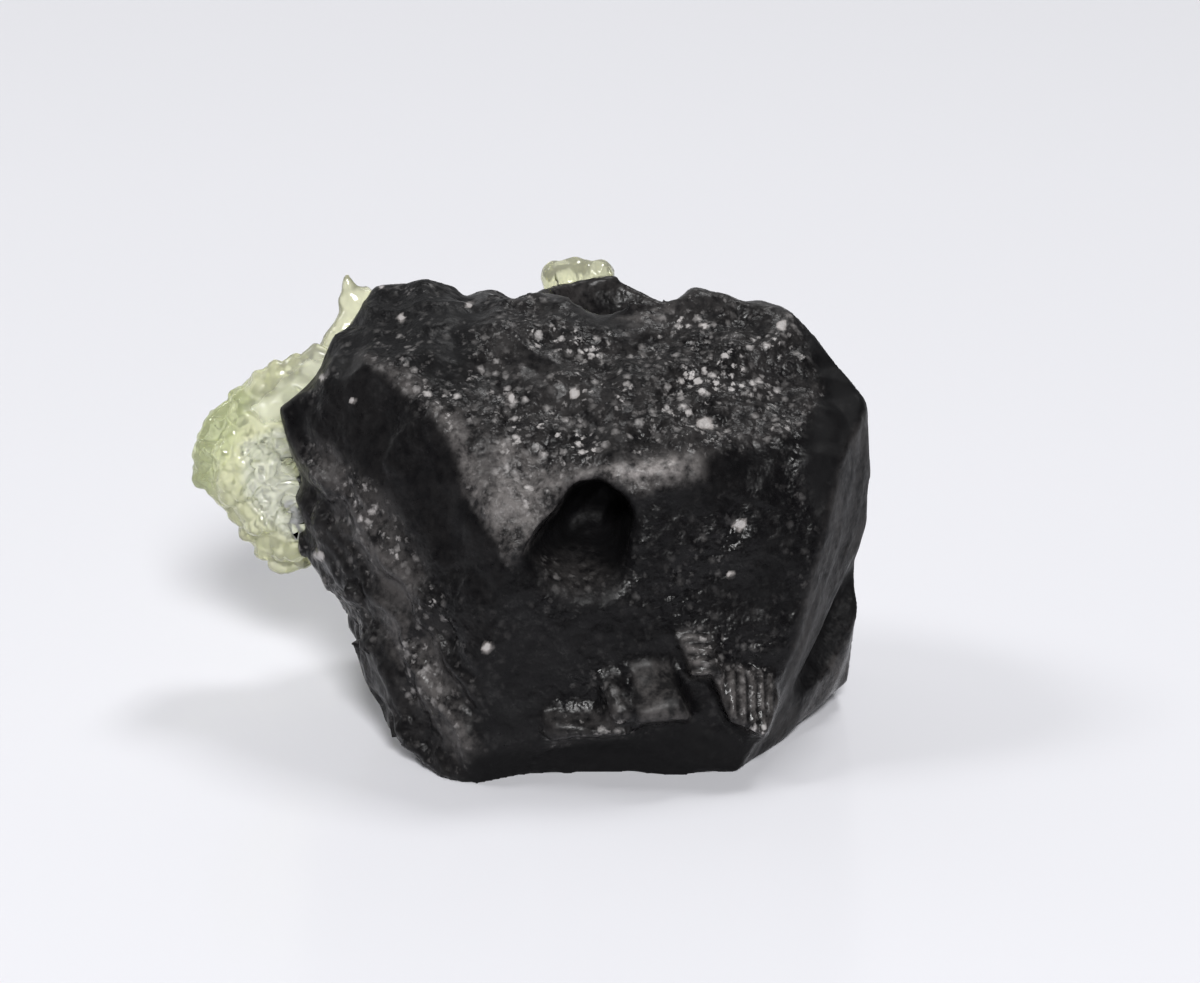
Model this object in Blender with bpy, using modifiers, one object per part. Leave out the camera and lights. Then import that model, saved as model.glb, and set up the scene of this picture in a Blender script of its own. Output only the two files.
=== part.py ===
"""A hyalite opal specimen: a broken block of black tourmaline with two growths of pale hyalite on it.

X runs to the right, Y away from the viewer and Z up. The origin is on the flat that the block rests on.
Lengths are in millimetres until finish() turns them into metres.
"""

import math
import random

import bmesh
import bpy
from mathutils import Matrix, Vector, noise
from mathutils.bvhtree import BVHTree

MM = 0.001
NODE_GAP = 0.35
PARTS = "hyalite_opal_specimen"
CUTTERS = "cutters"

# The specimen is described as it shows from the front, seen a little from above.
VIEW_TILT = math.radians(20.0)
VIEW_DISTANCE = 250.0
VIEW_CENTRE = Vector((0.0, 0.0, 14.9))
VIEW_AHEAD = Vector((0.0, math.cos(VIEW_TILT), -math.sin(VIEW_TILT)))
VIEW_UP = Vector((0.0, math.sin(VIEW_TILT), math.cos(VIEW_TILT)))

# Fineness of the surfaces, and the triangles that are kept of each.
ROCK_VOXEL = 0.42
OPAL_VOXEL = 0.3
ROCK_TRIANGLES = 5200
CRUST_TRIANGLES = 3700
KNOB_TRIANGLES = 600

# Each kind's colour, its roughness, and the angle past which its edges are sharp, in degrees.
ROCK_FINISH = ((0.012, 0.011, 0.012), 0.35, 25.0)
OPAL_FINISH = ((0.72, 0.78, 0.5), 0.12, 60.0)

# The prism's long axis leans to the right and back, and its sides are grooved along it.
PRISM_AXIS = Vector((0.285, 0.377, 0.881))

# Relief on the rock: the width of its forms, and their height.
GROOVE_WIDTH = 1.1
GROOVE_LENGTH = 30.0
BACK_GROOVE_HEIGHT = 0.3
RIGHT_GROOVE_HEIGHT = 0.12
LUMP_WIDTHS = (4.2, 1.7)
LUMP_HEIGHTS = (0.22, 0.14)
TOP_LUMP_HEIGHTS = (0.52, 0.44)
RIB_PITCH = 2.1
RIB_HEIGHT = 0.24
RIB_WANDER = 1.6
RIB_WANDER_WIDTH = 5.0
# How much of the broken faces' relief the right side lacks.
RIGHT_SMOOTHNESS = 0.9

# How far a face must turn to a side to begin to count as part of it, and to count fully.
BACK_TURN = (0.35, 0.75)
RIGHT_TURN = (0.45, 0.8)
TOP_TURN = (0.45, 0.8)

# The left flank's crest in the view: a point on it, and the direction across it, downwards. The ribs
# begin and are full so far past the crest, and fade where a face turns to the right or to the back.
CREST_POINT = (-18.0, 3.2)
CREST_ACROSS = (-0.83, -0.56)
RIB_START = (-1.2, 0.4)
RIB_RIGHT_TURN = (0.25, -0.1)
RIB_BACK_TURN = (0.5, -0.2)

# The sizes of the solids that cut all the way through the block.
GROUND_SIZE = 80.0
OUTLINE_REACH = 40.0


def seen(across, rise, y):
    """The point at depth y that shows this far right of and above the middle of the view."""
    plane_point = Vector((across, 0.0, 0.0)) + VIEW_UP * rise
    ray = plane_point + VIEW_AHEAD * VIEW_DISTANCE
    beyond = (y - plane_point.y) / (ray.y / VIEW_DISTANCE)
    return VIEW_CENTRE + plane_point + ray * (beyond / VIEW_DISTANCE)


# The block before its fractures, corner by corner.
BLOCK_CORNERS = (
    # back rim of the top, from left to right
    seen(-14.3, 13.1, 8.0),
    seen(-8.0, 13.0, 10.0),
    seen(0.4, 13.5, 12.0),
    seen(5.9, 12.8, 5.4),
    seen(12.5, 10.9, 4.5),
    # right side, downwards
    seen(16.8, 5.6, 1.0),
    seen(16.9, -1.8, 1.0),
    seen(16.1, -7.4, 1.5),
    seen(15.5, -11.8, 1.8),
    # edge between the front and the right side, downwards
    seen(14.9, 2.0, -4.0),
    seen(13.9, -2.6, -6.0),
    seen(11.9, -10.0, -8.0),
    seen(10.2, -16.4, -6.6),
    seen(8.4, -17.5, -9.4),
    # ridge on the left of the front, upwards
    seen(-8.4, -18.4, -11.0),
    seen(-7.5, -11.5, -11.2),
    seen(-5.4, -3.8, -10.6),
    seen(-9.6, 4.6, -4.8),
    seen(-14.0, 8.2, -1.0),
    # front edge of the top
    seen(-2.0, 0.8, -6.7),
    seen(4.0, 1.6, -7.5),
    # left side, downwards
    seen(-20.1, 5.3, 2.5),
    seen(-19.5, 3.5, 2.5),
    seen(-18.8, -1.2, 2.0),
    seen(-18.7, -3.3, 2.0),
    seen(-16.2, -6.8, 0.0),
    seen(-14.8, -11.2, -3.0),
    seen(-12.5, -15.2, -7.5),
    seen(-10.7, -17.1, -9.6),
    # left flank's crest, downwards
    seen(-16.8, 2.3, -1.6),
    seen(-11.5, -3.9, -6.6),
    seen(-9.3, -8.0, -9.2),
    # back and underside
    Vector((3.5, 15.6, 20.5)),
    Vector((-10.5, 12.6, 20.5)),
    Vector((13.0, 10.6, 19.0)),
    Vector((-15.5, 10.0, 12.0)),
    Vector((-9.5, 8.0, 2.0)),
    Vector((-0.5, 11.5, -0.5)),
    Vector((14.0, 8.6, -0.5)),
)

# The block's outline from the front, as (across, rise), clockwise from the top left corner.
OUTLINE = (
    (-14.2, 12.9), (-11.2, 12.7), (-9.2, 12.4), (-8.5, 11.8), (-7.5, 12.3), (-6.5, 12.4), (-5.4, 12.0),
    (-3.7, 12.4), (-2.4, 13.1), (0.4, 13.3), (2.5, 12.6), (4.8, 11.9), (5.9, 12.5), (9.0, 11.8), (12.4, 10.7),
    (14.3, 8.4), (16.6, 5.6), (16.7, 2.6), (16.6, -1.8), (16.1, -3.3), (15.9, -4.6), (15.9, -7.4),
    (15.6, -9.2), (15.3, -11.8), (12.4, -14.3), (10.3, -16.2), (8.4, -17.4), (3.7, -19.0), (-4.0, -19.0),
    (-8.4, -18.2), (-10.6, -17.0), (-12.4, -15.1), (-13.7, -13.3), (-14.6, -11.1), (-15.4, -8.6),
    (-16.0, -6.7), (-17.1, -5.8), (-17.7, -4.7), (-18.5, -3.3), (-18.6, -1.2), (-18.9, 1.3), (-19.4, 3.5),
    (-19.9, 5.2), (-18.8, 6.2), (-17.3, 7.3), (-16.9, 8.7), (-15.5, 10.2), (-14.8, 11.7),
)

# Each conchoidal break is an ellipsoid: centre, half-axes, how far it is turned in the view and
# how far its top leans forward.
BREAKS = {
    "top_scoop": (Vector((1.4, 8.0, 25.2)), (5.0, 3.9, 3.2), 8.0, 0.0),
    "arch": (seen(-0.6, -18.6, -13.2), (8.2, 3.9, 3.3), 0.0, 0.0),
    "front_dish": (seen(6.4, -4.0, -16.4), (6.0, 7.4, 6.6), 0.0, 0.0),
}

# The hollow in the front, roofed by an arch and fading out below: its rim, its back and its lower end.
HOLLOW = (
    seen(-5.0, -4.1, -13.0), seen(-3.5, -1.7, -13.0), seen(-1.7, 0.6, -13.0), seen(0.0, 1.1, -13.0),
    seen(1.3, 0.1, -13.0), seen(2.1, -0.8, -13.0),
    seen(-5.0, -4.1, -9.8), seen(-3.2, -2.2, -5.8), seen(-1.7, 0.3, -3.4), seen(0.0, 0.7, -3.0),
    seen(1.3, -0.2, -3.6), seen(2.0, -1.2, -5.8), seen(-1.9, -1.8, -3.0), seen(0.9, -1.8, -3.0),
    seen(-2.5, -6.9, -10.9), seen(0.8, -6.9, -10.4), seen(-2.5, -6.9, -13.0), seen(0.8, -6.9, -13.0),
)

# Each step is a small block left standing on the front: its corners in the view, each with its depth.
STEPS = {
    "plate": ((1.9, -10.6, -9.9), (4.2, -10.6, -9.8), (5.8, -14.2, -12.3), (2.5, -14.3, -12.6)),
    "post": ((0.0, -11.3, -10.4), (1.2, -11.3, -10.3), (1.9, -14.2, -12.1), (0.6, -14.2, -12.2)),
    "stair": ((4.9, -8.5, -9.0), (6.8, -8.4, -8.7), (7.5, -11.3, -10.7), (5.6, -11.6, -10.9)),
    "tooth": (
        (7.6, -10.8, -9.2), (10.6, -11.1, -8.5), (11.2, -13.0, -9.6), (10.2, -15.4, -11.2),
        (8.1, -14.2, -11.4), (7.3, -12.0, -10.4),
    ),
    "lip": ((-3.5, -13.6, -10.8), (0.3, -13.6, -10.9), (2.0, -15.0, -11.9), (-3.1, -15.6, -12.2)),
}
STEP_ROOT = 3.0

# The notch along the right side, roofed by the upper side face: its opening, the back of its roof, and
# its lower edge.
SIDE_NOTCH = (
    seen(17.2, -1.0, -12.0), seen(11.5, -13.0, -12.0), seen(12.0, -14.0, -12.0), seen(16.8, -6.9, -12.0),
    seen(17.2, -1.0, 5.0), seen(14.5, -6.9, 1.6), seen(12.0, -12.0, -3.6),
    seen(16.8, -6.9, 1.5), seen(14.3, -11.0, -1.5), seen(12.0, -14.0, -7.4),
)


def collection(name):
    found = bpy.data.collections.get(name)
    if found is None:
        found = bpy.data.collections.new(name)
        bpy.context.scene.collection.children.link(found)
    return found


def part_object(name, mesh):
    made = bpy.data.objects.new(name, mesh)
    collection(PARTS).objects.link(made)
    return made


def cutter_object(mesh):
    made = bpy.data.objects.new(mesh.name, mesh)
    made.hide_render = True
    made.display_type = "WIRE"
    collection(CUTTERS).objects.link(made)
    return made


def mesh_from(name, shape):
    """A mesh made from a bmesh, which is freed."""
    bmesh.ops.recalc_face_normals(shape, faces=shape.faces)
    mesh = bpy.data.meshes.new(name)
    shape.to_mesh(mesh)
    shape.free()
    return mesh


def hull(name, points):
    shape = bmesh.new()
    for point in points:
        shape.verts.new(point)
    made = bmesh.ops.convex_hull(shape, input=shape.verts)
    spare = {v for v in made["geom_interior"] + made["geom_unused"] if isinstance(v, bmesh.types.BMVert)}
    bmesh.ops.delete(shape, geom=list(spare), context="VERTS")
    return mesh_from(name, shape)


def ellipsoid(name, centre, half_axes, turn, lean):
    shape = bmesh.new()
    place = (
        Matrix.Translation(centre)
        @ Matrix.Rotation(math.radians(turn), 4, "Y")
        @ Matrix.Rotation(math.radians(lean), 4, "X")
        @ Matrix.Diagonal((*half_axes, 1.0))
    )
    bmesh.ops.create_icosphere(shape, subdivisions=4, radius=1.0, matrix=place)
    return mesh_from(name, shape)


def ground():
    """A block whose top is the plane that the specimen rests on."""
    shape = bmesh.new()
    place = Matrix.Translation((0.0, 0.0, -GROUND_SIZE / 2.0))
    bmesh.ops.create_cube(shape, size=GROUND_SIZE, matrix=place)
    return mesh_from("ground", shape)


def outline_prism():
    """The outline drawn out along the lines of sight, so that it bounds the block as seen from the front."""
    shape = bmesh.new()
    ends = []
    for ahead in (-OUTLINE_REACH, OUTLINE_REACH):
        spread = 1.0 + ahead / VIEW_DISTANCE
        ring = []
        for across, rise in OUTLINE:
            flat = Vector((across, 0.0, 0.0)) + VIEW_UP * rise
            ring.append(shape.verts.new(VIEW_CENTRE + flat * spread + VIEW_AHEAD * ahead))
        ends.append(ring)
    shape.faces.new(ends[0])
    shape.faces.new(ends[1])
    bmesh.ops.bridge_loops(shape, edges=shape.edges[:])
    bmesh.ops.triangulate(shape, faces=[f for f in shape.faces if len(f.verts) > 4])
    return mesh_from("outline", shape)


def step_block(name, corners):
    """A step, from the corners of its face back to its root in the block."""
    ends = [seen(*corner) for corner in corners]
    ends += [seen(across, rise, y + STEP_ROOT) for across, rise, y in corners]
    return hull(name, ends)


def apply_modifiers(obj):
    graph = bpy.context.evaluated_depsgraph_get()
    mesh = bpy.data.meshes.new_from_object(obj.evaluated_get(graph))
    obj.modifiers.clear()
    obj.data = mesh


def combine(obj, mesh, operation):
    """Joins, cuts or crosses obj with a mesh."""
    cutter = cutter_object(mesh)
    step = obj.modifiers.new(mesh.name, "BOOLEAN")
    step.operation = operation
    step.object = cutter
    apply_modifiers(obj)
    bpy.data.objects.remove(cutter)


def remesh(obj, voxel):
    step = obj.modifiers.new("remesh", "REMESH")
    step.mode = "VOXEL"
    step.voxel_size = voxel
    apply_modifiers(obj)


def decimate(obj, triangles):
    step = obj.modifiers.new("decimate", "DECIMATE")
    step.ratio = triangles / sum(len(face.vertices) - 2 for face in obj.data.polygons)
    step.use_collapse_triangulate = True
    apply_modifiers(obj)


def keep_largest_body(obj):
    """Drops the crumbs that a cut leaves."""
    shape = bmesh.new()
    shape.from_mesh(obj.data)
    left = set(shape.verts)
    bodies = []
    while left:
        body = set()
        reached = [left.pop()]
        while reached:
            vert = reached.pop()
            body.add(vert)
            for edge in vert.link_edges:
                other = edge.other_vert(vert)
                if other in left:
                    left.discard(other)
                    reached.append(other)
        bodies.append(body)
    bodies.sort(key=len)
    spare = [vert for body in bodies[:-1] for vert in body]
    bmesh.ops.delete(shape, geom=spare, context="VERTS")
    shape.to_mesh(obj.data)
    shape.free()


def smooth_step(low, high, value):
    share = min(1.0, max(0.0, (value - low) / (high - low)))
    return share * share * (3.0 - 2.0 * share)


def displace(mesh, height):
    """Moves each vertex along its normal by height(place, normal)."""
    moved = [v.co + v.normal * height(v.co, v.normal) for v in mesh.vertices]
    for vertex, place in zip(mesh.vertices, moved):
        vertex.co = place
    mesh.update()


def in_view(place):
    """How far right of and above the middle of the view this place shows."""
    offset = place - VIEW_CENTRE
    nearness = VIEW_DISTANCE / (VIEW_DISTANCE + offset.dot(VIEW_AHEAD))
    return offset.x * nearness, offset.dot(VIEW_UP) * nearness


def past_crest(place):
    """How far below the left flank's crest this place shows, measured across the flank's ribs."""
    across, rise = in_view(place)
    return CREST_ACROSS[0] * (across - CREST_POINT[0]) + CREST_ACROSS[1] * (rise - CREST_POINT[1])


def groove(place, offset, height):
    """The height of the lengthwise grooves at a place, whose offset is measured across them."""
    return height * noise.noise(Vector((offset / GROOVE_WIDTH, height, place.z / GROOVE_LENGTH)))


def rock_height(place, normal):
    """Lumps on the broken faces, ribs on the left flank, and grooves along the prism's sides."""
    back = smooth_step(*BACK_TURN, normal.y)
    right = smooth_step(*RIGHT_TURN, normal.x)
    top = smooth_step(*TOP_TURN, normal.z)
    across_back = place.x - place.z * PRISM_AXIS.x / PRISM_AXIS.z
    across_right = place.y - place.z * PRISM_AXIS.y / PRISM_AXIS.z
    grooves = back * groove(place, across_back, BACK_GROOVE_HEIGHT)
    grooves += right * groove(place, across_right, RIGHT_GROOVE_HEIGHT)
    lumps = 0.0
    for width, height, top_height in zip(LUMP_WIDTHS, LUMP_HEIGHTS, TOP_LUMP_HEIGHTS):
        lumps += (height + top * (top_height - height)) * noise.noise(place / width)
    below = past_crest(place)
    flank = smooth_step(*RIB_START, below)
    flank *= smooth_step(*RIB_RIGHT_TURN, normal.x) * smooth_step(*RIB_BACK_TURN, normal.y)
    wander = RIB_WANDER * noise.noise(place / RIB_WANDER_WIDTH)
    ribs = flank * RIB_HEIGHT * math.sin(2.0 * math.pi * (below + wander) / RIB_PITCH)
    return grooves + (1.0 - back) * (1.0 - RIGHT_SMOOTHNESS * right) * (lumps + ribs)


def tourmaline():
    block = part_object("tourmaline", hull("tourmaline", BLOCK_CORNERS))
    combine(block, outline_prism(), "INTERSECT")
    combine(block, hull("side_notch", SIDE_NOTCH), "DIFFERENCE")
    for name, corners in STEPS.items():
        combine(block, step_block(name, corners), "UNION")
    for name, form in BREAKS.items():
        combine(block, ellipsoid(name, *form), "DIFFERENCE")
    combine(block, hull("hollow", HOLLOW), "DIFFERENCE")
    remesh(block, ROCK_VOXEL)
    displace(block.data, rock_height)
    decimate(block, ROCK_TRIANGLES)
    combine(block, ground(), "DIFFERENCE")
    keep_largest_body(block)
    return block


# The hyalite at the left: fused lumps, each a centre and its half-axes.
MASS_LUMPS = (
    (seen(-22.2, 2.2, 6.2), (2.4, 3.8, 3.6)),
    (seen(-20.6, 4.6, 6.6), (2.6, 3.6, 2.5)),
    (seen(-18.9, 6.4, 6.8), (2.0, 2.8, 1.5)),
    (seen(-20.4, -0.4, 5.8), (2.2, 3.4, 2.8)),
    (seen(-19.1, -2.4, 5.4), (1.5, 2.8, 1.9)),
    (seen(-17.4, 7.6, 7.2), (1.3, 2.0, 1.0)),
)
# The small spheres on the mass's rim, as (across, rise), with their radius.
MASS_RIM = (
    (-17.4, 8.5, 0.7), (-18.5, 7.9, 0.8), (-19.8, 7.3, 0.8), (-21.0, 6.5, 1.0), (-22.3, 5.3, 1.1),
    (-23.4, 4.2, 1.1), (-23.9, 2.7, 1.3), (-24.2, 1.2, 1.1), (-23.6, 0.4, 0.8), (-22.6, -0.9, 0.9),
    (-21.6, -2.2, 0.9), (-20.8, -3.3, 0.9), (-19.6, -4.2, 0.9), (-18.6, -4.0, 0.9),
)
RIM_Y = 4.9
# The chain of lumps that climbs the rock's upper left edge to the finger.
CHAIN = (
    (seen(-17.2, 8.4, 6.4), 0.9), (seen(-16.4, 9.4, 6.8), 0.9), (seen(-15.6, 10.3, 7.4), 1.0),
    (seen(-15.2, 11.3, 8.0), 0.9), (seen(-14.6, 12.2, 8.6), 0.7), (seen(-15.7, 11.8, 8.2), 0.65),
    (seen(-15.7, 12.5, 8.2), 0.52), (seen(-15.7, 13.1, 8.2), 0.42), (seen(-15.7, 13.6, 8.2), 0.26),
)
# The lumps of the small growth on the back rim of the top.
KNOB_LUMPS = (
    (seen(-2.6, 13.3, 12.9), 1.15), (seen(-1.5, 13.4, 13.3), 1.25), (seen(0.0, 13.4, 13.2), 1.1),
    (seen(-2.0, 12.6, 14.2), 1.3), (seen(-0.4, 12.4, 14.4), 1.4),
)

# The hyalite's spheres follow the rock's surface round an upright line. A patch is the direction of
# its middle, in degrees leftwards from straight back, its height, how far it reaches each way, and
# the radii of its spheres at the edge and in the middle.
PATCH_LINE = (-2.0, 2.0)
PATCH_OUTSIDE = 60.0
CRUST_PATCH = ((50.0, 13.4), (42.0, 9.0), (0.8, 2.2))
KNOB_PATCH = ((-1.0, 20.8), (13.0, 4.2), (0.8, 1.5))
SPHERE_SPACING = 2.1
ROW_SPACING = 1.9
SPACING_WANDER = 0.25
DEGREE_LENGTH = 0.26
# How unevenly a patch's edge runs, and how wide its bays are.
EDGE_WANDER = 0.3
EDGE_WANDER_WIDTH = 4.0
# The spheres reach their full size this share of the way in, vary by this share, and stand out by this one.
SIZE_GROWTH = 1.6
SIZE_LEAST = 0.7
SPHERE_RISE = 0.15
# The broken face of the mass, which looks forward and down to the left.
MASS_BREAK = (seen(-18.4, -0.2, -4.6), (4.6, 9.0, 5.2), -24.0, 0.0)


def fused(name, lumps):
    """One closed surface round all the lumps, each a centre and a radius or three half-axes."""
    shape = bmesh.new()
    for centre, size in lumps:
        half_axes = size if isinstance(size, tuple) else (size, size, size)
        place = Matrix.Translation(centre) @ Matrix.Diagonal((*half_axes, 1.0))
        bmesh.ops.create_icosphere(shape, subdivisions=3, radius=1.0, matrix=place)
    made = part_object(name, mesh_from(name, shape))
    remesh(made, OPAL_VOXEL)
    return made


def patch_spheres(rock, patch, seed):
    """Spheres spaced over the rock's surface inside an oval, smaller towards its edge."""
    middle, reach, sizes = patch
    draw = random.Random(seed)
    tree = BVHTree.FromObject(rock, bpy.context.evaluated_depsgraph_get())
    turn_spacing = SPHERE_SPACING / DEGREE_LENGTH
    rows = math.ceil(reach[1] / SPHERE_SPACING)
    columns = math.ceil(reach[0] / turn_spacing)
    spheres = []
    for row in range(-rows, rows + 1):
        for column in range(-columns, columns + 1):
            turn = (column + 0.5 * (row % 2) + draw.uniform(-SPACING_WANDER, SPACING_WANDER)) * turn_spacing
            rise = row * ROW_SPACING + draw.uniform(-SPACING_WANDER, SPACING_WANDER) * SPHERE_SPACING
            inside = 1.0 - math.hypot(turn / reach[0], rise / reach[1])
            bay = Vector((turn * DEGREE_LENGTH / EDGE_WANDER_WIDTH, seed, rise / EDGE_WANDER_WIDTH))
            inside += EDGE_WANDER * noise.noise(bay)
            growth = min(1.0, SIZE_GROWTH * inside) * draw.uniform(SIZE_LEAST, 1.0)
            size = sizes[0] + (sizes[1] - sizes[0]) * growth
            angle = math.radians(middle[0] + turn)
            outwards = Vector((-math.sin(angle), math.cos(angle), 0.0))
            start = Vector((*PATCH_LINE, middle[1] + rise)) + outwards * PATCH_OUTSIDE
            place, normal, _, _ = tree.ray_cast(start, -outwards)
            if inside > 0.0 and place is not None:
                spheres.append((place + normal * SPHERE_RISE * size, size))
    return spheres


def fit_to_rock(growth, rock, triangles):
    """Cuts the rock, and a gap round it, out of a growth, and closes the growth again."""
    grown = rock.data.copy()
    displace(grown, lambda place, normal: NODE_GAP)
    combine(growth, grown, "DIFFERENCE")
    remesh(growth, OPAL_VOXEL)
    decimate(growth, triangles)
    keep_largest_body(growth)


def crust(rock):
    lumps = list(MASS_LUMPS) + list(CHAIN)
    lumps += [(seen(across, rise, RIM_Y), radius) for across, rise, radius in MASS_RIM]
    lumps += patch_spheres(rock, CRUST_PATCH, 3)
    made = fused("hyalite_crust", lumps)
    combine(made, ellipsoid("mass_break", *MASS_BREAK), "DIFFERENCE")
    fit_to_rock(made, rock, CRUST_TRIANGLES)
    return made


def knob(rock):
    lumps = list(KNOB_LUMPS) + patch_spheres(rock, KNOB_PATCH, 5)
    made = fused("hyalite_knob", lumps)
    fit_to_rock(made, rock, KNOB_TRIANGLES)
    return made


def finish(obj, colour, roughness, sharp_angle):
    """Turns millimetres into metres, shades the faces and gives the material."""
    obj.data.transform(Matrix.Scale(MM, 4))
    obj.data.shade_smooth()
    obj.data.set_sharp_from_angle(angle=math.radians(sharp_angle))
    material = bpy.data.materials.new(obj.name)
    material.use_nodes = True
    surface = material.node_tree.nodes["Principled BSDF"]
    surface.inputs["Base Color"].default_value = (*colour, 1.0)
    surface.inputs["Roughness"].default_value = roughness
    obj.data.materials.clear()
    obj.data.materials.append(material)


def main():
    for old in list(bpy.data.objects):
        bpy.data.objects.remove(old)
    block = tourmaline()
    growths = (crust(block), knob(block))
    finish(block, *ROCK_FINISH)
    for growth in growths:
        finish(growth, *OPAL_FINISH)


main()
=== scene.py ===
import math

import bpy
import numpy as np
from mathutils import Matrix, Vector, noise
from mathutils.bvhtree import BVHTree


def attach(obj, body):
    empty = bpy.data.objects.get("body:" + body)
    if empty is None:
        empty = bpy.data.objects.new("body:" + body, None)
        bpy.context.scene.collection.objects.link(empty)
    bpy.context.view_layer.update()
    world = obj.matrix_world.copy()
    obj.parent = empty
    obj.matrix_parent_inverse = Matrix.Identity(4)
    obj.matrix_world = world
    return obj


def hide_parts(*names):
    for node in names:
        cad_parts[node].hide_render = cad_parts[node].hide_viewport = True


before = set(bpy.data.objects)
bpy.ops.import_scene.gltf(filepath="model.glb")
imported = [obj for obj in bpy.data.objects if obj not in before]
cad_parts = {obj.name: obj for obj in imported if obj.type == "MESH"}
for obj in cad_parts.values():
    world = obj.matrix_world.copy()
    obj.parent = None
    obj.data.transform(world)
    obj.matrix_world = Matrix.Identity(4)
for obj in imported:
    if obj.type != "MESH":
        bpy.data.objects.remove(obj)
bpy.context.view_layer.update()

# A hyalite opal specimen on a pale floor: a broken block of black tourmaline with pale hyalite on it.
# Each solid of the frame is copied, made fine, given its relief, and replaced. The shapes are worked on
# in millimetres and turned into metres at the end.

MM = 0.001

# The photograph's viewpoint: its tilt, its distance, the point that it looks at, and the width that it takes in.
VIEW_TILT = math.radians(20.0)
VIEW_DISTANCE = 250.0
VIEW_CENTRE = Vector((0.0, 0.0, 14.9))
VIEW_WIDTH = 1200.0 / 16.1
VIEW_AHEAD = Vector((0.0, math.cos(VIEW_TILT), -math.sin(VIEW_TILT)))
VIEW_UP = Vector((0.0, math.sin(VIEW_TILT), math.cos(VIEW_TILT)))

# The prism's long axis, which its side faces are grooved along.
PRISM_AXIS = Vector((0.285, 0.377, 0.881))

ROCK_VOXEL = 0.22
OPAL_VOXEL = 0.16

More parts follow.
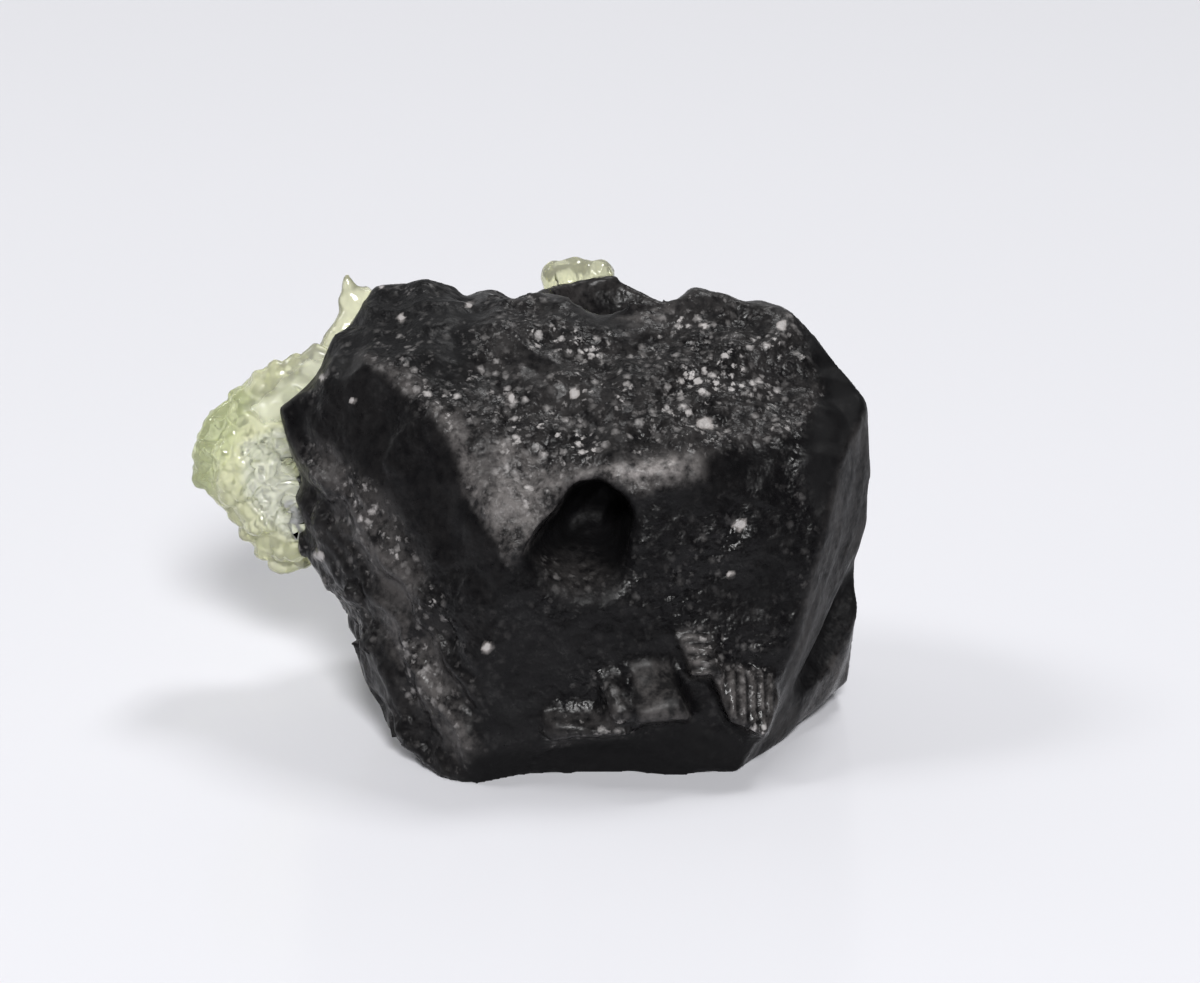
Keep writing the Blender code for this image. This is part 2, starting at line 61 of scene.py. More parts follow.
# The surfaces of the block as they show from the front: their outlines as (across, rise) points, the
# slope of their large facets and of their lumps, the strength of their grain, their roughness, how much
# of them brown dust covers together with painted light on the lit faces, the strength of their painted
# glints (pale spots that stand in for glints of light), and how wide their border is.
ZONES = {
    "top": (
        ((-20.5, 5.0), (-14.4, 8.2), (-11.8, 7.2), (-9.0, 4.7), (-7.8, 3.3), (-4.4, 2.3), (-1.0, 1.6), (2.2, 2.0),
         (4.3, 1.9), (8.8, 2.5), (12.6, 3.9), (14.0, 6.3), (13.4, 8.2), (12.2, 10.6), (12.0, 14.5), (-15.5, 14.5)),
        (0.06, 0.13, 0.75, 0.32, 0.04, 1.7), 0.5,
    ),
    "scoop": (
        ((-2.7, 12.5), (-1.7, 13.1), (0.0, 13.2), (2.5, 12.5), (5.0, 11.8), (4.2, 10.9), (2.5, 10.2), (0.0, 10.2),
         (-1.7, 11.0)),
        (0.02, 0.03, 0.30, 0.34, 0.04, 0.0), 0.4,
    ),
    "scoop_glints": (
        ((0.8, 12.6), (2.5, 12.2), (4.4, 11.6), (3.6, 10.8), (2.4, 10.5), (1.2, 11.0)),
        (0.02, 0.05, 0.80, 0.30, 0.20, 0.9), 0.5,
    ),
    "top_left": (
        ((-20.5, 5.0), (-14.4, 8.2), (-11.8, 7.2), (-9.4, 5.6), (-7.8, 8.0), (-6.8, 14.5), (-15.5, 14.5)),
        (0.03, 0.06, 0.60, 0.42, 0.0, 0.35), 0.9,
    ),
    "shelf": (
        ((-14.6, 8.4), (-11.8, 7.1), (-9.0, 4.6), (-7.8, 3.2), (-6.2, 3.5), (-4.4, 2.3), (-2.4, 1.5), (-0.1, 1.3),
         (2.5, 1.9), (6.2, 2.2), (6.2, 1.0), (2.5, 0.1), (-0.1, 0.6), (-1.3, 0.7), (-3.3, -1.5), (-4.8, -3.8),
         (-5.6, -4.1), (-8.4, -0.3), (-9.0, 2.2), (-9.9, 4.2), (-12.4, 6.5)),
        (0.08, 0.15, 1.00, 0.38, 0.26, 1.3), 0.8,
    ),
    "left_face": (
        ((-19.6, 3.8), (-16.8, 6.4), (-14.6, 8.2), (-12.4, 6.5), (-9.9, 4.2), (-9.0, 2.2), (-8.4, -0.3), (-6.2, -3.6),
         (-6.2, -6.7), (-7.0, -9.5), (-7.6, -12.3), (-8.2, -9.8), (-9.3, -8.0), (-10.2, -6.1), (-11.5, -3.9),
         (-12.7, -1.8), (-14.3, 0.1), (-15.5, 1.3), (-16.8, 2.3), (-18.0, 3.2)),
        (0.03, 0.05, 0.35, 0.32, 0.01, 0.05), 0.5,
    ),
    "shelf_gap": (
        ((-7.9, 4.0), (-6.7, 4.0), (-6.3, 1.6), (-6.6, -0.4), (-7.3, -0.2), (-7.6, 1.8)),
        (0.06, 0.12, 0.80, 0.38, 0.12, 0.5), 0.5,
    ),
    "shelf_rim": (
        ((-4.9, -3.7), (-3.5, -1.4), (-1.5, 0.9), (0.3, 1.5), (4.7, 2.0), (4.7, 1.3), (0.4, 0.7), (-1.2, 0.4),
         (-3.2, -1.7), (-4.6, -3.9)),
        (0.02, 0.05, 0.40, 0.34, 0.62, 0.5), 0.35,
    ),
    "flank": (
        ((-19.6, 3.8), (-18.0, 3.2), (-16.8, 2.3), (-15.5, 1.3), (-14.3, 0.1), (-12.7, -1.8), (-11.5, -3.9),
         (-10.2, -6.1), (-9.3, -8.0), (-8.2, -9.8), (-7.5, -12.3), (-7.6, -15.4), (-8.4, -18.6), (-12.0, -19.5),
         (-22.0, -8.0), (-22.0, 3.8)),
        (0.10, 0.14, 0.60, 0.34, 0.02, 0.40), 0.5,
    ),
    "upper_flank": (
        ((-18.4, 2.7), (-17.1, 2.5), (-15.4, 1.0), (-13.7, -0.5), (-12.4, -3.0), (-11.2, -5.2), (-10.8, -6.9),
         (-11.7, -7.4), (-13.4, -6.1), (-14.8, -4.3), (-15.7, -1.8), (-16.7, 0.1), (-17.9, 1.3)),
        (0.10, 0.14, 0.50, 0.30, 0.11, 1.7), 1.1,
    ),
    "lower_flank": (
        ((-13.8, -6.7), (-12.4, -7.6), (-10.6, -9.6), (-9.3, -12.3), (-8.1, -14.8), (-7.3, -16.4), (-8.6, -16.2),
         (-9.9, -14.2), (-11.5, -12.3), (-12.7, -9.8), (-14.0, -8.0)),
        (0.10, 0.14, 0.50, 0.30, 0.15, 1.3), 1.0,
    ),
    "bevel": (
        ((12.2, 10.4), (13.4, 8.2), (14.0, 6.3), (12.8, 3.9), (12.6, 1.0), (13.6, -2.0), (15.0, 2.0), (16.5, 4.9),
         (17.6, 6.0), (13.0, 11.6)),
        (0.01, 0.0, 0.05, 0.55, 0.0, 0.0), 0.6,
    ),
    "side": (
        ((16.4, 4.9), (14.9, 2.0), (13.8, -2.6), (12.9, -6.1), (11.9, -10.0), (11.4, -13.4), (9.0, -17.5),
         (18.0, -13.0), (18.0, 5.2)),
        (0.01, 0.03, 0.35, 0.50, 0.05, 0.0), 0.3,
    ),
    "notch": (
        ((16.2, -3.2), (16.4, -7.2), (14.6, -11.2), (12.2, -14.0), (12.0, -12.6), (13.6, -8.6), (15.0, -5.4)),
        (0.04, 0.08, 0.50, 0.60, 0.0, 0.05), 0.4,
    ),
    "low_side": (
        ((16.2, -7.2), (15.6, -12.0), (12.2, -14.6), (14.2, -10.6)),
        (0.0, 0.02, 0.20, 0.24, 0.09, 0.0), 0.3,
    ),
    "underside": (
        ((-8.0, -16.3), (-3.4, -15.7), (2.2, -15.2), (6.0, -14.6), (7.8, -15.4), (9.4, -17.6), (-8.6, -18.8)),
        (0.03, 0.08, 0.50, 0.70, 0.0, 0.0), 0.5,
    ),
    "hollow": (
        ((-5.2, -4.1), (-3.6, -1.6), (-1.8, 0.7), (0.0, 1.2), (1.4, 0.2), (2.3, -0.8), (0.9, -7.0), (-2.6, -7.0)),
        (0.02, 0.08, 0.40, 0.55, 0.0, 0.0), 0.6,
    ),
    "hollow_floor": (
        ((-3.9, -4.4), (-1.6, -3.8), (0.4, -4.6), (0.4, -6.2), (-2.2, -6.6), (-3.4, -5.8)),
        (0.08, 0.15, 0.60, 0.40, 0.06, 0.5), 1.0,
    ),
    "lip": (
        ((-3.5, -13.6), (0.3, -13.6), (2.0, -15.0), (-3.1, -15.6)),
        (0.05, 0.10, 0.50, 0.32, 0.05, 2.0), 0.4,
    ),
    "post": (
        ((0.0, -11.3), (1.2, -11.3), (1.9, -14.2), (0.6, -14.2)),
        (0.03, 0.04, 0.30, 0.34, 0.05, 0.2), 0.3,
    ),
    "plate": (
        ((1.9, -10.6), (4.2, -10.6), (5.8, -14.2), (2.5, -14.3)),
        (0.0, 0.0, 0.05, 0.42, 0.11, 0.0), 0.25,
    ),
    "stair": (
        ((4.9, -8.5), (6.8, -8.4), (7.5, -11.3), (5.6, -11.6)),
        (0.02, 0.02, 0.20, 0.30, 0.12, 0.7), 0.3,
    ),
    "tooth": (
        ((7.6, -10.8), (10.6, -11.1), (11.2, -13.0), (10.2, -15.4), (8.1, -14.2), (7.3, -12.0)),
        (0.02, 0.03, 0.30, 0.22, 0.11, 1.5), 0.3,
    ),
}
# What the front has outside its zones, and what the back and the right side have.
FRONT_FINISH = (0.04, 0.08, 0.60, 0.28, 0.004, 0.12)
PRISM_FINISH = (0.02, 0.02, 0.20, 0.26, 0.02, 0.0)
# Painted glints: single pale specks on the dark surfaces that stand in for glints of light, where they show, as
# (across, rise), and how wide they are.
PAINTED_GLINT_SPECKS = (
    (8.7, -2.0, 0.36), (8.1, -5.2, 0.20), (-7.0, -9.7, 0.28), (-17.4, -4.0, 0.28), (-15.4, 5.7, 0.14),
    (-13.6, 12.8, 0.16), (-12.4, 10.9, 0.20), (-17.3, 7.1, 0.18), (-5.5, 5.9, 0.30), (6.6, 4.3, 0.42),
    (-1.6, 6.1, 0.24), (6.5, 10.3, 0.22), (11.3, 10.3, 0.24), (-8.1, 11.6, 0.18),
)
# How high the specks lift the dust column; past the brown dust's reach the material paints them pale as glints.
PAINTED_GLINT_LEVEL = 1.8
SPECK_WANDER = 0.5

# The hollow's lower and right edges, the scoop's front edge and the front's upper right corner fade out:
# they are smoothed here.
SOFT_EDGES = (
    ((-5.6, -4.0), (-3.0, -3.4), (0.0, -3.0), (0.8, -0.8), (3.6, -0.4), (4.2, -7.8), (-3.6, -8.4), (-6.2, -5.6)),
    ((-2.8, 11.4), (0.0, 12.2), (2.4, 11.6), (4.4, 10.9), (4.4, 10.0), (2.4, 9.0), (-0.2, 9.0), (-2.6, 10.2)),
    ((8.8, 2.6), (11.2, 3.0), (12.8, 1.6), (12.6, -1.8), (9.2, -1.4)),
)
SOFT_ROUNDS = 160

# The smooth conchoidal scoop at the back of the top: its middle, its reach and its finish.
SCOOP_MIDDLE = Vector((1.4, 8.0, 25.2))
SCOOP_REACH = (5.0, 3.9, 3.2)
SCOOP_FINISH = (0.02, 0.03, 0.50, 0.28, 0.06, 0.0)
# Towards the front the scoop fades into a dent: its outline, its depth, and how far inside it is that deep.
DENT = ((-2.4, 12.2), (0.0, 12.4), (2.0, 11.9), (3.3, 11.3), (2.5, 10.2), (0.0, 10.2), (-1.7, 11.0))
DENT_DEPTH = 0.8
DENT_SLOPE_WIDTH = 1.5
DENT_ABOVE = 17.0

# Facets are cells of this width, each tilted its own way. Lumps are round.
FACET_WIDTH = 2.2
LUMP_WIDTHS = (2.6, 1.2)
# The grain's width and depth. The painted glints, pale spots that stand in for glints of light, are about this far
# apart, and gather in clusters this wide.
GRAIN_WIDTH = 0.8
GRAIN_DEPTH = 0.33
SPOT_WIDTHS = (0.75, 0.48)
SPOT_WANDER = 0.55
CLUSTER_WIDTH = 3.4
RIB_PITCH = 0.85
RIB_HEIGHT = 0.05
# The relief is stronger and weaker in patches of this width.
PATCH_WIDTH = 4.5
# The tooth's upright bars and the stair's treads.
BAR_PITCH = 0.62
TREAD_PITCH = 0.72
BAR_HEIGHT = 0.09
# Painted light and shade on the bars: the dust and the painted glints are made stronger on their crests and weaker
# between them.
BAR_PAINTED_LIGHT_AND_SHADE = 0.9
GROOVE_WIDTHS = (1.0, 0.42)
GROOVE_HEIGHTS = (0.10, 0.05)
GROOVE_LENGTH = 30.0

# The hyalite reaches this far into the rock, so that no gap shows.
ROOT_DEPTH = 0.3
ROOT_NEAR = 0.5
ROOT_FAR = 1.0
BUBBLE_WIDTHS = (1.3, 0.6)
BUBBLE_HEIGHTS = (0.62, 0.12)

# The broken face of the hyalite mass, the smooth sheet above it, the finger and the rim, whose darker
# green is painted shade, as they show from the front.
BROKEN_FACE = ((-22.3, 3.0), (-21.0, 3.6), (-19.8, 4.2), (-18.0, 4.4), (-17.6, -3.4), (-19.4, -3.0), (-21.0, -1.8),
               (-22.2, -0.2))
SHEET = ((-22.0, 5.2), (-19.8, 7.2), (-18.0, 8.6), (-16.9, 9.4), (-14.5, 9.0), (-15.0, 6.0), (-19.0, 4.6),
         (-21.0, 4.0))
FINGER = ((-17.4, 9.0), (-17.4, 14.8), (-13.0, 14.8), (-13.0, 9.0))
GREEN_RIM_PAINTED_SHADE = ((-25.8, 7.5), (-23.0, 7.5), (-21.2, 5.6), (-22.2, 4.0), (-23.8, 1.0), (-24.2, -1.5), (-25.8, -1.5))
SHEET_SMOOTHNESS = 0.85
SHEET_PALENESS = 0.5
SHEET_ROUGHNESS = 0.30
# Short curved cracks in the broken face, painted dark with painted shade and the dark rock seen through them: their
# cells' width, and how far they wander.
CRACK_WIDTH = 1.7
CRACK_WANDER = 0.8
FRACTURE_WIDTHS = (1.4, 0.6)
FRACTURE_SLOPES = (0.58, 0.36)

# The room's bright side, from the middle.
BRIGHT_SIDE = (-0.4, 0.9, 0.0)


def smooth_step(low, high, value):
    share = np.clip((value - low) / (high - low), 0.0, 1.0)
    return share * share * (3.0 - 2.0 * share)


def in_view(places):
    """How far right of and above the middle of the view each place shows."""
    offset = places - np.array(VIEW_CENTRE)
    nearness = VIEW_DISTANCE / (VIEW_DISTANCE + offset @ np.array(VIEW_AHEAD))
    return np.stack((offset[:, 0] * nearness, offset @ np.array(VIEW_UP) * nearness), axis=1)


def inside_outline(points, outline):
    """How far inside a closed outline each 2D point lies; outside it is negative."""
    ends = np.array(outline)
    starts = np.roll(ends, 1, axis=0)
    nearest = np.full(len(points), np.inf)
    inside = np.zeros(len(points), dtype=bool)
    for start, end in zip(starts, ends):
        along = end - start
        share = np.clip((points - start) @ along / (along @ along), 0.0, 1.0)
        nearest = np.minimum(nearest, np.linalg.norm(points - start - share[:, None] * along, axis=1))
        crosses = (start[1] > points[:, 1]) != (end[1] > points[:, 1])
        if along[1]:
            inside ^= crosses & (points[:, 0] < start[0] + (points[:, 1] - start[1]) / along[1] * along[0])
    return np.where(inside, nearest, -nearest)


def mesh_places(mesh):
    """The places and the normals of a mesh's vertices, as arrays."""
    places = np.empty(len(mesh.vertices) * 3)
    mesh.vertices.foreach_get("co", places)
    normals = np.empty(len(mesh.vertices) * 3)
    mesh.vertex_normals.foreach_get("vector", normals)
    return places.reshape(-1, 3), normals.reshape(-1, 3)


def set_places(mesh, places):
    mesh.vertices.foreach_set("co", places.ravel())
    mesh.update()


def set_layer(mesh, name, values):
    """Keeps one value for each vertex under a name that the mesh's material reads."""
    layer = mesh.attributes.new(name, "FLOAT", "POINT")
    layer.data.foreach_set("value", values.astype(np.float32))


def fine_copy(name, node, voxel):
    """A closed fine copy of a node of the frame, in millimetres."""
    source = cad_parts[node]
    mesh = source.data.copy()
    mesh.transform(Matrix.Scale(1.0 / MM, 4) @ source.matrix_world)
    piece = bpy.data.objects.new(name, mesh)
    bpy.context.scene.collection.objects.link(piece)
    weld = piece.modifiers.new("weld", "WELD")
    weld.merge_threshold = 0.0001
    step = piece.modifiers.new("remesh", "REMESH")
    step.mode = "VOXEL"
    step.voxel_size = voxel
    graph = bpy.context.evaluated_depsgraph_get()
    fine = bpy.data.meshes.new_from_object(piece.evaluated_get(graph))
    piece.modifiers.clear()
    piece.data = fine
    fine.name = name
    return piece


def noise_at(places, width, seed=0.0):
    """Smooth noise from -1 to 1 whose lumps are about this wide."""
    shift = Vector((seed * 13.7, seed * 5.1, seed * 9.3))
    return np.array([noise.noise(Vector(place) / width + shift) for place in places])


def facets_at(places, width):
    """Heights of tilted cells, each with its own random slope of about 1."""
    heights = []
    for place in places:
        spot = Vector(place) / width
        middle = noise.voronoi(spot)[1][0]
        heights.append((spot - middle).dot(noise.noise_vector(middle * 5.3)))
    return np.array(heights) * width * 2.2


def lumps_at(places, width):
    """Heights of round lumps, with slopes of about 1."""
    return noise_at(places, width, width) * width


def bubbles_at(places, width):
    """Heights of round bubbles, from 0 between them to 1 on top."""
    nearest = np.array([noise.voronoi(Vector(place) / width)[0][0] for place in places])
    return np.clip(1.0 - (nearest / 0.9) ** 2, 0.0, 1.0)


def grooves_at(places, across):
    """Lengthwise grooves of the prism's sides. across is each place's offset across them."""
    total = np.zeros(len(places))
    for width, height in zip(GROOVE_WIDTHS, GROOVE_HEIGHTS):
        lines = np.stack((across / width, np.full(len(places), width), places[:, 2] / GROOVE_LENGTH), axis=1)
        total += height * noise_at(lines, 1.0)
    return total


def rock_finish(places, normals):
    """For each place the slopes of its relief, its roughness, its brown dust with painted light and its painted
    glints, blended between the zones.
    """
    view = in_view(places)
    facing = -(normals @ np.array(VIEW_AHEAD))
    shows = smooth_step(0.0, 0.12, facing)
    finish = np.tile(np.array(FRONT_FINISH), (len(places), 1))
    for outline, values, border in ZONES.values():
        share = smooth_step(-border, border, inside_outline(view, outline))[:, None]
        finish = finish * (1.0 - share) + share * np.array(values)
    # The specks are painted glints, written into the dust column.
    ragged = 1.0 + SPECK_WANDER * noise_at(places, 0.4, 5.0)
    for across, rise, width in PAINTED_GLINT_SPECKS:
        share = smooth_step(1.2, 0.5, np.linalg.norm(view - (across, rise), axis=1) * ragged / width)
        finish[:, 4] = np.maximum(finish[:, 4], share * PAINTED_GLINT_LEVEL)
    finish = finish * shows[:, None] + (1.0 - shows[:, None]) * np.array(PRISM_FINISH)
    off = np.linalg.norm((places - np.array(SCOOP_MIDDLE)) / np.array(SCOOP_REACH), axis=1)
    scoop = smooth_step(1.22, 1.10, off)[:, None]
    return finish * (1.0 - scoop) + scoop * np.array(SCOOP_FINISH)


def bars_at(places, normals):
    """The tooth's bars and the stair's treads, from -1 between them to 1 on them."""
    view = in_view(places)
    wander = 0.5 * noise_at(places, 3.0, 4.0)
    total = np.zeros(len(places))
    for name, along, pitch in (("tooth", view[:, 0], BAR_PITCH), ("stair", view[:, 1], TREAD_PITCH)):
        inside = smooth_step(0.0, 0.3, inside_outline(view, ZONES[name][0])) * (normals[:, 1] < 0.0)
        total += inside * np.sin(2.0 * math.pi * (along / pitch + wander))
    return total


def rock_relief(places, normals, finish):
    """The height of the fine relief over the block."""
    height = finish[:, 0] * facets_at(places, FACET_WIDTH)
    for width in LUMP_WIDTHS:
        height += finish[:, 1] * lumps_at(places, width)
    back = smooth_step(0.35, 0.7, normals[:, 1])
    right = smooth_step(0.5, 0.8, normals[:, 0])
    axis = PRISM_AXIS / PRISM_AXIS.z
    height += back * grooves_at(places, places[:, 0] - places[:, 2] * axis.x)
    height += right * grooves_at(places, 0.5 * (places[:, 1] - places[:, 2] * axis.y))
    view = in_view(places)
    below_crest = -0.83 * (view[:, 0] + 18.0) - 0.56 * (view[:, 1] - 3.2)
    flank = smooth_step(0.0, 0.6, inside_outline(view, ZONES["flank"][0])) * (normals[:, 1] < 0.3)
    wander = noise_at(places, 3.0, 4.0)
    height += flank * RIB_HEIGHT * np.sin(2.0 * math.pi * (below_crest / RIB_PITCH + wander))
    return height + BAR_HEIGHT * bars_at(places, normals)


def soften_edges(block):
    """Smooths the block's surface inside the outline of its soft edges."""
    places, normals = mesh_places(block.data)
    view = in_view(places)
    inside = np.max([smooth_step(-0.3, 0.6, inside_outline(view, outline)) for outline in SOFT_EDGES], axis=0)
    inside *= smooth_step(-0.4, 0.1, -(normals @ np.array(VIEW_AHEAD)))
    group = block.vertex_groups.new(name="soft")
    for index in np.flatnonzero(inside > 0.01):
        group.add([int(index)], float(inside[index]), "REPLACE")
    smooth = block.modifiers.new("smooth", "SMOOTH")
    smooth.iterations = SOFT_ROUNDS
    smooth.vertex_group = "soft"
    graph = bpy.context.evaluated_depsgraph_get()
    softened = bpy.data.meshes.new_from_object(block.evaluated_get(graph))
    block.modifiers.clear()
    block.vertex_groups.clear()
    softened.name = block.name
    block.data = softened


def dent_scoop(block):
    """Presses the front part of the scoop down."""
    places, _ = mesh_places(block.data)
    dent = smooth_step(0.0, DENT_SLOPE_WIDTH, inside_outline(in_view(places), DENT))
    places[:, 2] -= DENT_DEPTH * dent * (places[:, 2] > DENT_ABOVE)
    set_places(block.data, places)


def tourmaline_block():
    block = fine_copy("tourmaline_block", "tourmaline", ROCK_VOXEL)
    dent_scoop(block)
    soften_edges(block)
    places, normals = mesh_places(block.data)
    finish = rock_finish(places, normals)
    patches = np.clip(1.0 + 1.4 * noise_at(places, PATCH_WIDTH, 2.0), 0.35, 1.7)
    finish[:, :3] *= patches[:, None]
    finish[:, 5] *= patches
    # Painted light on the bars' crests and painted shade between them.
    finish[:, 4:] *= 1.0 + BAR_PAINTED_LIGHT_AND_SHADE * bars_at(places, normals)[:, None]
    height = rock_relief(places, normals, finish)
    height *= smooth_step(0.02, 0.5, places[:, 2])
    set_places(block.data, places + normals * height[:, None])
    for column, name in ((2, "grain"), (3, "rough"), (4, "dust_and_painted_light"), (5, "painted_glints")):
        set_layer(block.data, name, finish[:, column])
    return block


def rooted(places, normals, tree):
    """The places, with those close to the rock that look towards it drawn a little way into it."""
    moved = places.copy()
    for index, (place, looks) in enumerate(zip(places, normals)):
        nearest, normal, _, _ = tree.find_nearest(Vector(place))
        height = (Vector(place) - nearest).dot(normal)
        share = smooth_step(ROOT_FAR, ROOT_NEAR, height) * smooth_step(0.7, 0.0, Vector(looks).dot(normal))
        if share > 0.0:
            moved[index] = place - np.array(normal) * (height + ROOT_DEPTH) * share
    return moved


def hyalite_piece(name, node, tree, bubbling):
    """One growth of hyalite. bubbling is the share of the full bubbles' height that it has."""
    piece = fine_copy(name, node, OPAL_VOXEL)
    places, normals = mesh_places(piece.data)
    view = in_view(places)
    facing = smooth_step(0.1, 0.4, -(normals @ np.array(VIEW_AHEAD)))
    broken = facing * smooth_step(-0.3, 0.4, inside_outline(view, BROKEN_FACE))
    sheet = facing * smooth_step(-0.3, 0.5, inside_outline(view, SHEET))
    smooth = np.maximum(sheet, smooth_step(-0.3, 0.5, inside_outline(view, FINGER)))
    green_rim_painted_shade = smooth_step(-0.8, 0.8, inside_outline(view, GREEN_RIM_PAINTED_SHADE))
    height = np.zeros(len(places))
    for width, bubble_height in zip(BUBBLE_WIDTHS, BUBBLE_HEIGHTS):
        height += bubble_height * (bubbles_at(places, width) - 0.5)
    height *= bubbling * (1.0 - broken) * (1.0 - SHEET_SMOOTHNESS * smooth)
    for width, slope in zip(FRACTURE_WIDTHS, FRACTURE_SLOPES):
        height += broken * slope * facets_at(places, width)
    moved = rooted(places + normals * height[:, None], normals, tree)
    set_places(piece.data, moved)
    set_layer(piece.data, "pale", np.maximum(broken, SHEET_PALENESS * sheet))
    set_layer(piece.data, "cracked", broken)
    set_layer(piece.data, "green_rim_painted_shade", green_rim_painted_shade)
    set_layer(piece.data, "satin", sheet)
    return piece


class Nodes:
    """A material's node tree, with short ways to add to it."""

    def __init__(self, name):
        self.material = bpy.data.materials.new(name)
        self.material.use_nodes = True
        self.tree = self.material.node_tree
        self.surface = self.tree.nodes["Principled BSDF"]
        self.output = self.tree.nodes["Material Output"]
        self.place = self.add("ShaderNodeTexCoord").outputs["Object"]

    def add(self, kind, **values):
        node = self.tree.nodes.new(kind)
        for key, value in values.items():
            setattr(node, key, value)
        return node

    def link(self, source, target):
        self.tree.links.new(source, target)

    def noise(self, width, detail=2.0, roughness=0.5):
        """Noise whose lumps are about this many millimetres wide."""
        texture = self.add("ShaderNodeTexNoise")
        self.link(self.place, texture.inputs["Vector"])
        texture.inputs["Scale"].default_value = 1.0 / (width * MM)
        texture.inputs["Detail"].default_value = detail
        texture.inputs["Roughness"].default_value = roughness
        return texture.outputs["Fac"]

    def attribute(self, name):
        return self.add("ShaderNodeAttribute", attribute_name=name).outputs["Fac"]

    def math(self, operation, first, second):
        node = self.add("ShaderNodeMath", operation=operation)
        for socket, value in zip(node.inputs, (first, second)):
            if isinstance(value, (int, float)):
                socket.default_value = value
            else:
                self.link(value, socket)
        return node.outputs["Value"]

    def span(self, value, low, high, to_low, to_high):
        node = self.add("ShaderNodeMapRange")
        self.link(value, node.inputs["Value"])
        for key, number in zip(("From Min", "From Max", "To Min", "To Max"), (low, high, to_low, to_high)):
            node.inputs[key].default_value = number
        return node.outputs["Result"]

    def mix(self, share, first, second):
        node = self.add("ShaderNodeMix", data_type="RGBA")
        self.link(share, node.inputs["Factor"])
        for socket, value in zip((node.inputs["A"], node.inputs["B"]), (first, second)):
            if isinstance(value, tuple):
                socket.default_value = (*value, 1.0)
            else:
                self.link(value, socket)
        return node.outputs["Result"]

    def wandering(self, width, distance):
        """The place, moved about by up to this many millimetres in lumps of this width."""
        cloud = self.add("ShaderNodeTexNoise")
        self.link(self.place, cloud.inputs["Vector"])
        cloud.inputs["Scale"].default_value = 1.0 / (width * MM)
        shift = self.add("ShaderNodeVectorMath", operation="SCALE")
        self.link(cloud.outputs["Color"], shift.inputs[0])
        shift.inputs["Scale"].default_value = distance * MM
        moved = self.add("ShaderNodeVectorMath", operation="ADD")
        self.link(self.place, moved.inputs[0])
        self.link(shift.outputs["Vector"], moved.inputs[1])
        return moved.outputs["Vector"]

    def painted_glints(self, width):
        """Soft ragged spots about this many millimetres apart, each with its own strength: painted glints."""
        cells = self.add("ShaderNodeTexVoronoi")
        self.link(self.wandering(0.5 * width, SPOT_WANDER), cells.inputs["Vector"])
        cells.inputs["Scale"].default_value = 1.0 / (width * MM)
        inside = self.span(cells.outputs["Distance"], 0.02, 0.42, 1.0, 0.0)
        return self.math("MULTIPLY", inside, self.span(cells.outputs["Color"], 0.35, 0.78, 0.0, 1.0))

    def cracks_painted_dark(self, width, wander):
        """Broken lines between wandering cells this many millimetres wide, from none to full."""
        cells = self.add("ShaderNodeTexVoronoi", feature="DISTANCE_TO_EDGE")
        self.link(self.wandering(width, wander), cells.inputs["Vector"])
        cells.inputs["Scale"].default_value = 1.0 / (width * MM)
        line = self.span(cells.outputs["Distance"], 0.0, 0.07, 1.0, 0.0)
        return self.math("MULTIPLY", line, self.span(self.noise(1.1), 0.48, 0.60, 0.0, 0.65))

    def bump(self, height, strength):
        """Bends the surface's normal as relief of this height, in metres, would."""
        node = self.add("ShaderNodeBump")
        self.link(height, node.inputs["Height"])
        node.inputs["Distance"].default_value = 1.0
        if isinstance(strength, (int, float)):
            node.inputs["Strength"].default_value = strength
        else:
            self.link(strength, node.inputs["Strength"])
        self.link(node.outputs["Normal"], self.surface.inputs["Normal"])


def tourmaline_material():
    made = Nodes("tourmaline")
    black = (0.0040, 0.0038, 0.0043)
    # The brown colour is brown dust and also painted light that brightens the lit faces.
    brown_dust_and_painted_light = (0.30, 0.278, 0.270)
    # The pale colour paints glints: spots and specks that stand in for glints of light.
    pale = (0.40, 0.380, 0.374)
    mottling = made.math("ADD", made.noise(0.5, 3.0, 0.6), made.noise(2.4, 2.0, 0.5))
    dust_and_painted_light = made.math("MULTIPLY", made.attribute("dust_and_painted_light"), made.span(mottling, 0.80, 1.20, 0.15, 1.85))
    # Painted glints, gathered in clusters.
    painted_glints = made.math("MAXIMUM", *(made.painted_glints(width) for width in SPOT_WIDTHS))
    clusters = made.span(made.noise(CLUSTER_WIDTH, 2.0, 0.5), 0.42, 0.60, 0.15, 1.0)
    painted_glints = made.math("MULTIPLY", made.math("MULTIPLY", painted_glints, clusters), made.attribute("painted_glints"))
    # Painted glints: where the dust column runs past the brown dust, the pale colour is painted.
    painted_glint_specks = made.span(made.attribute("dust_and_painted_light"), 0.9, 1.4, 0.0, 1.0)
    colour = made.mix(made.math("MAXIMUM", painted_glints, painted_glint_specks), made.mix(dust_and_painted_light, black, brown_dust_and_painted_light), pale)
    made.link(colour, made.surface.inputs["Base Color"])
    variation = made.span(made.noise(0.6, 3.0, 0.6), 0.3, 0.7, -0.08, 0.12)
    made.link(made.math("ADD", made.attribute("rough"), variation), made.surface.inputs["Roughness"])
    made.surface.inputs["IOR"].default_value = 1.33
    made.surface.inputs["Specular IOR Level"].default_value = 0.30
    grain = made.math("MULTIPLY", made.noise(GRAIN_WIDTH, 2.0, 0.5), GRAIN_DEPTH * MM)
    made.bump(grain, made.attribute("grain"))
    return made.material


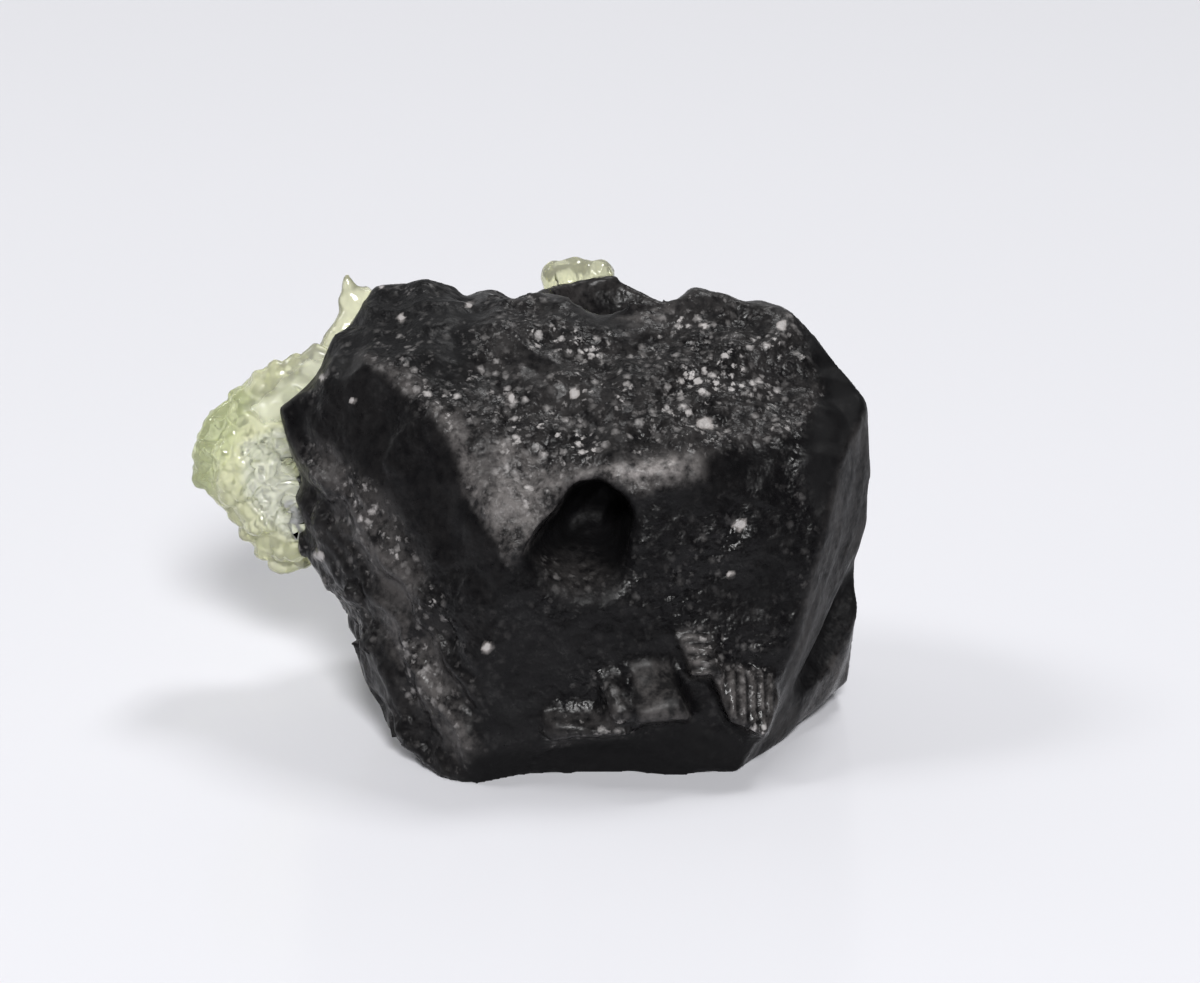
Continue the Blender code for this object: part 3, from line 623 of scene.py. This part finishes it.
def hyalite_material():
    made = Nodes("hyalite")
    # The rim's darker green is painted shade.
    yellow = made.mix(made.attribute("green_rim_painted_shade"), (0.90, 0.90, 0.67), (0.74, 0.79, 0.51))
    colour = made.mix(made.attribute("pale"), yellow, (0.94, 0.95, 0.93))
    # The cracks are painted dark: painted shade, and a painted view of the dark rock behind the opal.
    cracks_painted_dark = made.math("MULTIPLY", made.cracks_painted_dark(CRACK_WIDTH, CRACK_WANDER), made.attribute("cracked"))
    made.link(made.mix(cracks_painted_dark, colour, (0.30, 0.32, 0.28)), made.surface.inputs["Base Color"])
    made.surface.inputs["Transmission Weight"].default_value = 0.70
    made.surface.inputs["IOR"].default_value = 1.45
    haze = made.span(made.noise(0.8, 3.0, 0.6), 0.35, 0.7, 0.02, 0.12)
    satin = made.math("MULTIPLY", made.attribute("satin"), SHEET_ROUGHNESS)
    made.link(made.math("ADD", haze, satin), made.surface.inputs["Roughness"])
    made.bump(made.math("MULTIPLY", made.noise(0.35, 3.0, 0.5), 0.02 * MM), 0.3)
    absorb = made.add("ShaderNodeVolumeAbsorption")
    absorb.inputs["Color"].default_value = (0.78, 0.86, 0.06, 1.0)
    absorb.inputs["Density"].default_value = 38.0
    made.link(absorb.outputs["Volume"], made.output.inputs["Volume"])
    return made.material


def floor():
    """A wide plain floor, pale and faintly glossy."""
    bpy.ops.mesh.primitive_plane_add(size=6.0, location=(0.0, 0.0, 0.0))
    plane = bpy.context.object
    plane.name = "floor"
    made = Nodes("pale_floor")
    made.surface.inputs["Base Color"].default_value = (0.82, 0.82, 0.86, 1.0)
    made.surface.inputs["Roughness"].default_value = 0.18
    made.surface.inputs["IOR"].default_value = 1.28
    plane.data.materials.append(made.material)


def area_light(name, place, target, size, power, colour=(1.0, 1.0, 1.0)):
    """A square soft light at a place, in metres, turned to a target."""
    data = bpy.data.lights.new(name, "AREA")
    data.shape = "SQUARE"
    data.size = size
    data.energy = power
    data.color = colour
    lamp = bpy.data.objects.new(name, data)
    lamp.location = place
    lamp.rotation_euler = (Vector(target) - Vector(place)).to_track_quat("-Z", "Y").to_euler()
    bpy.context.scene.collection.objects.link(lamp)


def lights():
    """Small soft lamps, and a room that is bright at the back and left and dark at the front and right."""
    area_light("overhead", (0.50, 0.74, 1.80), (0.0, 0.0, 0.0), 0.46, 11.2)
    area_light("front", (0.20, -1.64, 1.30), (0.0, 0.0, 0.0), 0.50, 41.0)
    area_light("left", (-1.28, 0.12, 1.60), (0.0, 0.0, 0.0), 0.52, 8.6)
    area_light("low_left", (-2.00, 1.32, 0.56), (0.0, 0.0, 0.0), 1.0, 2.9)
    world = bpy.data.worlds.new("studio")
    world.use_nodes = True
    tree = world.node_tree
    background = tree.nodes["Background"]
    background.inputs["Color"].default_value = (0.97, 0.98, 1.0, 1.0)
    direction = tree.nodes.new("ShaderNodeTexCoord")
    towards = tree.nodes.new("ShaderNodeVectorMath")
    towards.operation = "DOT_PRODUCT"
    towards.inputs[1].default_value = BRIGHT_SIDE
    strength = tree.nodes.new("ShaderNodeMapRange")
    strength.inputs["From Min"].default_value = 0.0
    strength.inputs["From Max"].default_value = 0.95
    strength.inputs["To Min"].default_value = 0.04
    strength.inputs["To Max"].default_value = 0.56
    tree.links.new(direction.outputs["Generated"], towards.inputs[0])
    tree.links.new(towards.outputs["Value"], strength.inputs["Value"])
    tree.links.new(strength.outputs["Result"], background.inputs["Strength"])
    bpy.context.scene.world = world
    bpy.context.scene.view_settings.view_transform = "Standard"


def camera():
    data = bpy.data.cameras.new("camera")
    data.sensor_width = 36.0
    data.lens = data.sensor_width * VIEW_DISTANCE / VIEW_WIDTH
    made = bpy.data.objects.new("camera", data)
    made.location = (VIEW_CENTRE - VIEW_AHEAD * VIEW_DISTANCE) * MM
    made.rotation_euler = (math.radians(90.0) - VIEW_TILT, 0.0, 0.0)
    bpy.context.scene.collection.objects.link(made)
    bpy.context.scene.camera = made


def place_piece(piece, node, material):
    """Turns a finished piece into metres, gives it its material, and puts it in its node's stead."""
    piece.data.transform(Matrix.Scale(MM, 4))
    piece.data.shade_smooth()
    piece.data.materials.clear()
    piece.data.materials.append(material)
    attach(piece, "root")
    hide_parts(node)


def main():
    camera()
    lights()
    floor()
    block = tourmaline_block()
    tree = BVHTree.FromObject(block, bpy.context.evaluated_depsgraph_get())
    crust = hyalite_piece("hyalite_crust_skin", "hyalite_crust", tree, 1.0)
    knob = hyalite_piece("hyalite_knob_skin", "hyalite_knob", tree, 0.35)
    opal = hyalite_material()
    place_piece(block, "tourmaline", tourmaline_material())
    place_piece(crust, "hyalite_crust", opal)
    place_piece(knob, "hyalite_knob", opal)


main()
